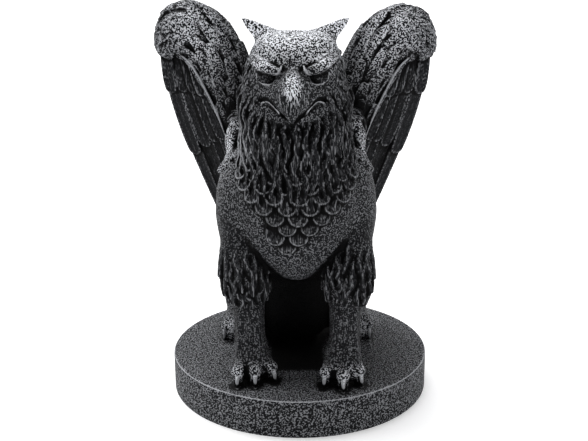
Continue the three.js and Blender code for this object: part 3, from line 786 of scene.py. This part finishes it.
def sculpt(shape, low, high, cell):
    """What lies between two corners as a block of clay, how much nearer the body is than the wings in it,
    and the distance to the figure alone."""
    chance = np.random.default_rng(7)
    clay = Clay(low, high, cell)
    wing(clay.at(LEFT_WING), chance)
    wing(clay.at(Place(mirror=True)), chance)
    core = Clay(low, high, cell)
    body(core)
    skull(core)
    seam = np.where(clay.distance > UNTOUCHED, FAR, clay.distance - core.distance)
    clay.merge(slice(None), core.distance, WING_FILLET)
    beak(clay)
    mane(clay, shape)
    scales(clay, shape, chance)
    shoulders(clay, shape, chance)
    ruff(clay, shape, chance)
    cheeks(clay, shape, chance)
    face(clay)
    left, right = clay.both()
    foreleg(left, 0, LEFT_TOES, chance)
    foreleg(right, RIGHT_STEP_BACK, RIGHT_TOES, chance)
    hind_leg(left)
    hind_leg(right)
    tail(clay)
    figure = clay.distance.copy()
    plinth(clay)
    return clay, seam, figure


# From clay to meshes: where the figure is cut into pieces, how far into the fillet at the feet they go,
# how far they overlap and how much further their blocks reach
FLOOR_CUT = -0.4
NECK_CUT = 104.0
WAIST_CUT = 2.0
FEET_CUT = 0.75 * FOOT_FILLET
OVERLAP = 0.9
ROOM = 8.0
# Each piece: the corners of its block, its cell's width, the most faces it may have, and its limits along
# X (0), Y (1) or Z (2). The plinth is turned instead, so its block only carries its finish.
PIECES = {
    "plinth": ((-68, -64, -20), (68, 64, 8), 0.7, 0, {}),
    "left_wing": ((-4, -20, 3), (67, 63, 164), 0.42, 185000, {0: (0, math.inf)}),
    "right_wing": ((-68, -20, 3), (4, 63, 164), 0.42, 185000, {0: (-math.inf, 0)}),
    "head": ((-40, -60, NECK_CUT - ROOM), (40, 24, 164), 0.36, 195000,
             {2: (NECK_CUT - OVERLAP, math.inf)}),
    "breast": ((-50, -60, -2), (50, WAIST_CUT + ROOM, NECK_CUT + ROOM), 0.4, 195000,
               {1: (-math.inf, WAIST_CUT), 2: (FLOOR_CUT, NECK_CUT)}),
    "haunches": ((-50, WAIST_CUT - ROOM, -2), (50, 63, NECK_CUT + ROOM), 0.5, 110000,
                 {1: (WAIST_CUT - OVERLAP, math.inf), 2: (FLOOR_CUT, NECK_CUT)}),
}


def part_of_space(clay, seam, figure, is_wing, limits):
    """How far outside a piece's own part of space each cell is, negative inside."""
    _, axes = clay.window(clay.low, clay.low + clay.cell * np.array(clay.distance.shape))
    part = seam / 2 - OVERLAP if is_wing else np.maximum(-seam / 2 - OVERLAP, figure - FEET_CUT)
    for axis, (low, high) in limits.items():
        part = np.maximum(part, np.maximum(low - axes[axis], axes[axis] - high))
    return part


PLINTH_SIDES = 300
TOP_RINGS = 60
EDGE_RINGS = 8
SIDE_RINGS = 14
UNDER_RINGS = 12
SMALLEST_RING = 0.5


def turned_plinth():
    """The plinth as rings of points, from the middle of its top over the edge to that of its underside."""
    edge = PLINTH_EDGE_RADIUS
    outer = PLINTH_RADIUS
    rings = [[radius, 0] for radius in np.linspace(SMALLEST_RING, outer - edge, TOP_RINGS)]
    rings += [[outer - edge * (1 - math.sin(turn)), -edge * (1 - math.cos(turn))]
              for turn in np.linspace(0, math.pi / 2, EDGE_RINGS + 1)[1:]]
    rings += [[outer, z] for z in np.linspace(-edge - 1, -PLINTH_THICKNESS, SIDE_RINGS)]
    rings += [[radius, -PLINTH_THICKNESS]
              for radius in np.linspace(outer - SMALLEST_RING, SMALLEST_RING, UNDER_RINGS)]
    radii, heights = np.array(rings).T[:, :, None]
    turns = np.linspace(0, 2 * math.pi, PLINTH_SIDES, endpoint=False)
    points = np.stack([radii * np.cos(turns), radii * np.sin(turns), heights + 0 * turns], axis=-1)
    here = np.arange(len(rings) * PLINTH_SIDES).reshape(len(rings), PLINTH_SIDES)
    ahead = np.roll(here, -1, axis=1)
    faces = [np.stack(corners, axis=-1).reshape(-1, 3) for corners in (
        (here[:-1], here[1:], ahead[1:]), (here[:-1], ahead[1:], ahead[:-1]))]
    for ring, step in ((0, 1), (len(rings) - 1, -1)):
        fan = here[ring][::step]
        faces.append(np.column_stack([np.full(PLINTH_SIDES - 2, fan[0]), fan[1:-1], fan[2:]]))
    return points.reshape(-1, 3) - [FIGURE_OFFSET_X, 0, 0], np.vstack(faces)


def surface(clay, part):
    """The surface of the clay in one part of space, as points and four-sided faces."""
    band = 3 * clay.cell
    distance = np.maximum(clay.distance, part)
    for axis in range(3):
        for end in (0, -1):
            np.moveaxis(distance, axis, 0)[end] = band
    grid = openvdb.FloatGrid(band)
    grid.transform = openvdb.createLinearTransform(voxelSize=clay.cell)
    grid.copyFromArray(np.clip(distance, -band, band).astype(np.float32))
    points, _, quads = grid.convertToPolygons(isovalue=0.0, adaptivity=0.0)
    return points + clay.low, quads.astype(int)


SPECK = 0.05


def solid_shells(points, quads):
    """Leaves out specks, and hollows that are shut in between forms: shells of little or no volume."""
    label = np.arange(len(points))
    pairs = np.concatenate([quads[:, [0, 1]], quads[:, [1, 2]], quads[:, [2, 3]], quads[:, [3, 0]]])
    while True:
        low = np.minimum(label[pairs[:, 0]], label[pairs[:, 1]])
        new = label.copy()
        np.minimum.at(new, pairs[:, 0], low)
        np.minimum.at(new, pairs[:, 1], low)
        new = new[new[new]]
        if (new == label).all():
            break
        label = new
    corners = points[quads]
    volumes = np.einsum("ij,ij->i", np.cross(corners[:, 1] - corners[:, 0], corners[:, 3] - corners[:, 1]),
                        corners[:, 0])
    volume = np.bincount(label[quads[:, 0]], volumes, len(points))
    keep = volume[label] > SPECK * volume.max()
    index = np.cumsum(keep) - 1
    return points[keep], index[quads[keep[quads[:, 0]]]]


def mesh_of(name, points, faces):
    mesh = bpy.data.meshes.new(name)
    mesh.vertices.add(len(points))
    mesh.vertices.foreach_set("co", points.astype(np.float32).ravel())
    mesh.loops.add(faces.size)
    mesh.loops.foreach_set("vertex_index", faces.astype(np.int32).ravel())
    mesh.polygons.add(len(faces))
    mesh.polygons.foreach_set("loop_start", np.arange(0, faces.size, faces.shape[1], dtype=np.int32))
    mesh.update(calc_edges=True)
    mesh.validate()
    return mesh


def to_row(points):
    """Millimetres of the figure's frame as metres of the row's frame."""
    return (points + [FIGURE_OFFSET_X, 0, PLINTH_THICKNESS]) / METRE


def to_figure(points):
    return points * METRE - [FIGURE_OFFSET_X, 0, PLINTH_THICKNESS]


def piece(name, points, faces):
    statue = bpy.data.objects.new(name, mesh_of(name, to_row(points), faces))
    bpy.context.scene.collection.objects.link(statue)
    return statue


def cast(name, clay, part, most_faces):
    """One piece of the figure as an object."""
    points, quads = solid_shells(*surface(clay, part))
    statue = piece(name, points, quads)
    thin = statue.modifiers.new("thin", "DECIMATE")
    thin.ratio = min(1.0, most_faces / (2 * len(quads)))
    evaluated = statue.evaluated_get(bpy.context.evaluated_depsgraph_get())
    thinned = bpy.data.meshes.new_from_object(evaluated)
    statue.modifiers.clear()
    statue.data = thinned
    return statue


# The finish

def on_both_sides(amount, centre, radii, offset=0.0):
    """The same spot on the griffin's two sides."""
    x, y, z = centre
    return [(amount, (side * x + offset, y, z), radii) for side in (-1, 1)]


# Spots where the finish differs from what the relief makes it: an amount, a centre and radii. The wash and
# its painted shade are lighter in the face, beside the neck and on the hind paws, and there is more painted
# shade behind the shoulders and where the forelegs meet the breast, where shade falls.
LESS_PAINTED_SHADE_FACE = [*on_both_sides(0.85, (10.6, -36, 129.8), (4.4, 5, 2.8), -0.8),
                *on_both_sides(0.75, (5.4, -40, 131.5), (3, 5, 4), -0.8)]
LESS_PAINTED_SHADE = [*on_both_sides(0.8, (31, 2, 6), (8, 9, 9)),
           *on_both_sides(0.6, (30, -12, 100), (6, 10, 16))]
MORE_PAINTED_SHADE = [*on_both_sides(0.7, (29, -4, 112), (7, 9, 15)),
          *on_both_sides(0.4, (21, -30, 62), (5, 10, 9), -0.5)]
# Paler on the ruff's right side, the side the light falls on: a painted highlight. The beak's ridge is paler
# too, dry brush with a painted highlight.
RUFF_PAINTED_HIGHLIGHT = (-23, -30, 102), (7, 12, 14)
BEAK_BRUSH_AND_HIGHLIGHT = (-1, -49, 126.5), (1.8, 5, 4.6)
# The stipple is stronger on the crown, ear tufts, beak, brows, wing arms, shoulders and hind paws, and
# stronger on the right shoulder and right hind paw than on the left, a painted highlight on the side the
# light falls on.
STIPPLE_AND_PAINTED_HIGHLIGHT = [
    (1.3, (0, -22, 144), (19, 18, 9)), *on_both_sides(0.8, (20, -14, 149), (8, 8, 8)),
    (1.5, (-1, -48, 128), (2.8, 8, 4.6)), (0.3, (-1, -46, 124), (9, 9, 6)),
    (0.8, (-12, -35, 135.4), (5, 6, 2.5)), (0.8, (10.5, -35, 136.4), (6, 6, 2.6)),
    (0.7, (44, 2, 151), (13, 14, 12)), (0.7, (-46, 2, 153), (13, 14, 12)),
    (0.5, (36, -2, 138), (10, 10, 12)), (0.5, (-38, -2, 140), (10, 10, 12)),
    (0.5, (29, -12, 98), (6, 10, 17)), (0.85, (-30, -12, 98), (6, 10, 17)),
    (0.4, (31, 2, 8), (8, 6, 7)), (0.6, (-31, 2, 8), (8, 6, 7)),
]
STREAKED = (-1, -48, 124), (10, 10, 9)
RIM_WIDTH = 0.24


def near(points, centre, radii):
    """1 at a centre, falling softly to 0 at about twice the radii."""
    return np.exp(-(((points - np.array(centre)) / np.array(radii)) ** 2).sum(1))


def added(points, spots):
    return sum(amount * near(points, centre, radii) for amount, centre, radii in spots)


def kept(points, spots):
    """The share that is left beside spots that take some away."""
    return math.prod(1 - amount * near(points, centre, radii) for amount, centre, radii in spots)


def paint(statue, clay):
    """Sets the normals, where the pale dry-brushing with its painted highlights and the dark wash with its
    painted shade lie, and how strong the stipple is.
    """
    mesh = statue.data
    count = len(mesh.vertices)
    flat = np.empty(count * 3, np.float32)
    mesh.vertices.foreach_get("co", flat)
    points = to_figure(flat.reshape(-1, 3).astype(float))
    own = np.empty(count * 3, np.float32)
    mesh.vertices.foreach_get("normal", own)
    outside = np.abs(clay.sample(points)) < 0.5 * clay.cell
    fine = np.where(outside[:, None], clay.slope(points, clay.cell), own.reshape(-1, 3))
    mesh.polygons.foreach_set("use_smooth", np.ones(len(mesh.polygons), bool))
    mesh.normals_split_custom_set_from_vertices(fine)

    # How open the space before the surface is at three distances, and how thick the form is behind it
    x, y, z = points.T
    normals = clay.slope(points)
    ahead = lambda reach, most: np.clip(clay.sample(points + normals * reach) / reach, -0.5, most)
    open_near, open_mid, open_far = ahead(1.0, 1.3), ahead(2.4, 1.2), ahead(6, 1.1)
    depth = -np.clip(clay.sample(points - normals), -1.3, 0)
    tone = clay.sample(points, clay.tone)
    hair = np.clip(clay.sample(points, clay.hair), 0, 1)
    on_plinth = z < 0.5

    # The wash and painted shade: darker than the resin in grooves and hollows, by how shut in the space
    # before the surface is, painted black in the recess between the forelegs where shade falls, and thin on
    # the open plinth
    wash_and_painted_shade = fade(0.5 * open_near + 0.5 * open_mid, 0.98, 0.6) + 0.5 * fade(open_far, 0.95, 0.2)
    wash_and_painted_shade = wash_and_painted_shade + fade(np.abs(x), 17, 12) * fade(y, -33, -28) * fade(z, 56, 50) * fade(y, 34, 26)
    wash_and_painted_shade = wash_and_painted_shade * (1 - 0.4 * on_plinth * (np.abs(x) > 12)) * kept(points, LESS_PAINTED_SHADE_FACE)
    wash_and_painted_shade = (wash_and_painted_shade + added(points, MORE_PAINTED_SHADE) - np.minimum(tone, 0)) * kept(points, LESS_PAINTED_SHADE)

    # The dry brush: on edges, rims, claws and the plinth's rim; what faces up is paler too, a painted
    # highlight from the overhead light, and so is the ruff's lit side
    from_edge = np.hypot(x + FIGURE_OFFSET_X, y) - PLINTH_RADIUS
    rim = crest(from_edge, -0.25, RIM_WIDTH) * crest(z, -0.25, RIM_WIDTH)
    edges = 0.2 * fade(open_near + open_mid, 2.02, 2.3) + 0.35 * fade(depth, 0.96, 0.65)
    edges = edges * (1 - 0.6 * hair)
    brush_and_painted_highlight = edges + 0.9 * np.maximum(tone + 0.75 * rim, 0) + 0.08 * fade(normals[:, 2], 0.1, 0.9)
    brush_and_painted_highlight = brush_and_painted_highlight * (1 + 1.1 * near(points, *RUFF_PAINTED_HIGHLIGHT)) + 0.45 * near(points, *BEAK_BRUSH_AND_HIGHLIGHT)

    # The stipple: strong on the spots, the front toes and the plinth, and soft on the vanes
    region = added(points, STIPPLE_AND_PAINTED_HIGHLIGHT) + 0.12 * on_plinth
    region = region + 0.45 * fade(z, 3, 5) * fade(z, 10, 8) * fade(y, -38, -42)
    vane_share = fade(y, 7, 11) * fade(z, 20, 30) * (np.abs(x) > 22) * statue.name.endswith("wing")
    stippled = 1 - np.maximum(vane_share, np.clip(-3 * tone, 0, 1))

    brush_and_painted_highlight = brush_and_painted_highlight * (1 - 0.3 * vane_share)
    values = np.clip(np.column_stack([brush_and_painted_highlight, wash_and_painted_shade, region, stippled]), 0, 1)
    streaked = np.maximum(hair, near(points, *STREAKED))
    attribute = mesh.attributes.new("hair", "FLOAT", "POINT")
    attribute.data.foreach_set("value", streaked.astype(np.float32))
    attribute = mesh.color_attributes.new("paint", "FLOAT_COLOR", "POINT")
    attribute.data.foreach_set("color", values.astype(np.float32).ravel())


class Nodes:
    """Short calls to lay out a material's nodes."""

    def __init__(self, tree):
        self.tree = tree

    def add(self, kind, inputs=(), **settings):
        node = self.tree.nodes.new(kind)
        for key, value in settings.items():
            setattr(node, key, value)
        for key, value in dict(inputs).items():
            if isinstance(value, bpy.types.NodeSocket):
                self.tree.links.new(value, node.inputs[key])
            else:
                node.inputs[key].default_value = value
        return node

    def math(self, operation, *values):
        return self.add("ShaderNodeMath", enumerate(values), operation=operation).outputs[0]

    def ramp(self, value, low, high, to_low=0.0, to_high=1.0):
        """A soft step from one value to another."""
        inputs = {"Value": value, "From Min": low, "From Max": high, "To Min": to_low, "To Max": to_high}
        return self.add("ShaderNodeMapRange", inputs, interpolation_type="SMOOTHSTEP").outputs["Result"]

    def noise(self, place, scale, detail, distortion):
        inputs = {"Vector": place, "Scale": scale, "Detail": detail, "Roughness": 0.6,
                  "Distortion": distortion}
        return self.add("ShaderNodeTexNoise", inputs).outputs["Fac"]

    def mix(self, share, low, high):
        return self.add("ShaderNodeMix", {0: share, 6: low, 7: high}, data_type="RGBA").outputs[2]


def new_material(name):
    material = bpy.data.materials.new(name)
    material.use_nodes = True
    return material, Nodes(material.node_tree), material.node_tree.nodes["Principled BSDF"]


STIPPLE_SCALE = 1560
STREAK_SCALE = (2200, 2200, 300)
DARK = (0.008, 0.0083, 0.0095, 1)
# Painted shade: darker than the resin itself, for grooves, hollows and the recess between the forelegs
PAINTED_SHADE = (0.0028, 0.0028, 0.003, 1)
# The pale of the dry brush, also used for the painted highlights
PALE_BRUSH_AND_HIGHLIGHT = (0.88, 0.9, 0.95, 1)
ROUGHNESS = 0.6
GLOSS = 0.05
STIPPLE_DEPTH = 0.0005


def resin():
    """Near-black resin with a leathery stipple, pale where a dry brush touched its high points, with painted
    shade in its hollows and painted highlights where the light falls.
    """
    material, nodes, shader = new_material("charcoal_resin")
    place = nodes.add("ShaderNodeTexCoord").outputs["Object"]
    painted = nodes.add("ShaderNodeVertexColor", layer_name="paint")
    parts = nodes.add("ShaderNodeSeparateColor", {"Color": painted.outputs["Color"]})
    brush_and_painted_highlight, wash_and_painted_shade, region = parts.outputs
    stippled = painted.outputs["Alpha"]
    hair = nodes.add("ShaderNodeAttribute", attribute_name="hair").outputs["Fac"]
    speckle = nodes.noise(place, STIPPLE_SCALE, 0.3, 0.3)
    drawn_out = nodes.add("ShaderNodeMapping", {"Vector": place, "Scale": STREAK_SCALE}).outputs["Vector"]
    streaks = nodes.noise(drawn_out, 1, 0.6, 0.4)
    grain = nodes.add("ShaderNodeMix", {0: hair, 2: speckle, 3: streaks}).outputs[0]
    # The stipple: the grain's high points, more and paler of them where it is strong
    strength = nodes.math("ADD", nodes.math("MULTIPLY", region, 0.85), nodes.math("MULTIPLY", brush_and_painted_highlight, 0.25))
    strength = nodes.math("MULTIPLY", strength, nodes.ramp(wash_and_painted_shade, 0.0, 1.0, 1.0, 0.0))
    level = nodes.math("ADD", grain, nodes.math("MULTIPLY", strength, 0.08))
    touched = nodes.ramp(level, 0.552, 0.58)
    faint = nodes.ramp(hair, 0.0, 1.0, 0.155, 0.035)
    paleness = nodes.math("ADD", nodes.math("MULTIPLY", strength, 1.05), faint)
    stipple = nodes.math("MULTIPLY", touched, paleness)
    stipple = nodes.math("MULTIPLY", stipple, nodes.ramp(stippled, 0.0, 1.0, 0.4, 1.0))
    # The dry-brushed edges and the painted highlights: broken by the grain, and whole where the brush pressed
    # hard or the highlight is strong
    broken = nodes.ramp(grain, 0.5, 0.6, 0.02, 0.6)
    solid = nodes.ramp(brush_and_painted_highlight, 0.3, 0.7, 0.0, 0.5)
    edge = nodes.math("MULTIPLY", brush_and_painted_highlight, nodes.math("MAXIMUM", broken, solid))
    pale = nodes.math("MAXIMUM", stipple, edge)
    # Painted shade: the wash takes the pale away in hollows and makes them darker than the resin itself
    pale = nodes.math("MULTIPLY", pale, nodes.ramp(wash_and_painted_shade, 0.4, 1.0, 1.0, 0.0))
    colour = nodes.mix(pale, nodes.mix(wash_and_painted_shade, DARK, PAINTED_SHADE), PALE_BRUSH_AND_HIGHLIGHT)
    nodes.tree.links.new(colour, shader.inputs["Base Color"])
    shader.inputs["Roughness"].default_value = ROUGHNESS
    shader.inputs["Specular IOR Level"].default_value = GLOSS
    depth = nodes.math("MULTIPLY", grain, nodes.ramp(stippled, 0.0, 1.0, 0.35, 1.0))
    bump = nodes.add("ShaderNodeBump", {"Height": depth, "Strength": 0.9, "Distance": STIPPLE_DEPTH})
    nodes.tree.links.new(bump.outputs["Normal"], shader.inputs["Normal"])
    return material


# The studio

FLOOR_REACH = 150.0
FLOOR_COLOUR = (0.9, 0.9, 0.91, 1)
FLOOR_ROUGHNESS = 0.85
FLOOR_GLOW = 0.3
WHITE = (1, 1, 1, 1)
ROOM_FRONT = 0.15
ROOM_BACK = 0.8
ROOM_TURN = (-0.75, 0.35)
OVERHEAD_FROM = (-0.25, 0.35, 1.0)
OVERHEAD_SPREAD_DEG = 50
OVERHEAD_POWER = 3.2


def studio():
    """A pale floor and a soft overhead light, in a room that is bright behind and beside, dim in front."""
    scene = bpy.context.scene
    corners = np.array([[-1.0, -1, 0], [1, -1, 0], [1, 1, 0], [-1, 1, 0]]) * FLOOR_REACH
    floor = bpy.data.objects.new("floor", mesh_of("floor", corners, np.array([[0, 1, 2, 3]])))
    finish, _, shader = new_material("pale_floor")
    shader.inputs["Base Color"].default_value = FLOOR_COLOUR
    shader.inputs["Roughness"].default_value = FLOOR_ROUGHNESS
    shader.inputs["Emission Color"].default_value = WHITE
    shader.inputs["Emission Strength"].default_value = FLOOR_GLOW
    floor.data.materials.append(finish)
    scene.collection.objects.link(floor)
    floor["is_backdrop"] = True

    world = bpy.data.worlds.new("studio")
    world.use_nodes = True
    scene.world = world
    nodes = Nodes(world.node_tree)
    way = nodes.add("ShaderNodeTexCoord").outputs["Generated"]
    back = nodes.add("ShaderNodeSeparateXYZ", {0: way}).outputs["Y"]
    strength = nodes.ramp(back, *ROOM_TURN, ROOM_FRONT, ROOM_BACK)
    background = world.node_tree.nodes["Background"]
    nodes.tree.links.new(strength, background.inputs["Strength"])
    background.inputs["Color"].default_value = WHITE

    light = bpy.data.lights.new("overhead", "SUN")
    light.angle = math.radians(OVERHEAD_SPREAD_DEG)
    light.energy = OVERHEAD_POWER
    lamp = bpy.data.objects.new("overhead", light)
    lamp.rotation_euler = (-Vector(OVERHEAD_FROM)).to_track_quat("-Z", "Y").to_euler()
    scene.collection.objects.link(lamp)
    scene.view_settings.view_transform = "Standard"


# The camera stands where the photograph's did, measured from the plinth's rims
CAMERA_ELEVATION_DEG = 15.13
CAMERA_DISTANCE = 384.0
CAMERA_TARGET = (-2.28, 0, 78.05)
CAMERA_ROLL_DEG = -0.40
CAMERA_LENS = 50.7
SENSOR = 36.0


def camera():
    data = bpy.data.cameras.new("camera")
    data.lens = CAMERA_LENS
    data.sensor_width = SENSOR
    data.clip_start = 0.01
    target = Vector(CAMERA_TARGET) / METRE
    tilt = math.radians(CAMERA_ELEVATION_DEG)
    away = Vector((0, -math.cos(tilt), math.sin(tilt))) * CAMERA_DISTANCE / METRE
    eye = bpy.data.objects.new("camera", data)
    roll = Matrix.Rotation(math.radians(CAMERA_ROLL_DEG), 3, "Z")
    turn = (-away).to_track_quat("-Z", "Y").to_matrix() @ roll
    eye.matrix_world = Matrix.Translation(target + away) @ turn.to_4x4()
    bpy.context.scene.collection.objects.link(eye)
    bpy.context.scene.camera = eye


camera()
studio()
finish = resin()
shape = bare_shape()
for name, (low, high, cell, most_faces, limits) in PIECES.items():
    clay, seam, figure = sculpt(shape, low, high, cell)
    if name == "plinth":
        statue = piece(name, *turned_plinth())
    else:
        part = part_of_space(clay, seam, figure, name.endswith("wing"), limits)
        statue = cast(name, clay, part, most_faces)
    paint(statue, clay)
    statue.data.materials.append(finish)
    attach(statue, "root")
    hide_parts("griffin_statue")

low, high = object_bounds()
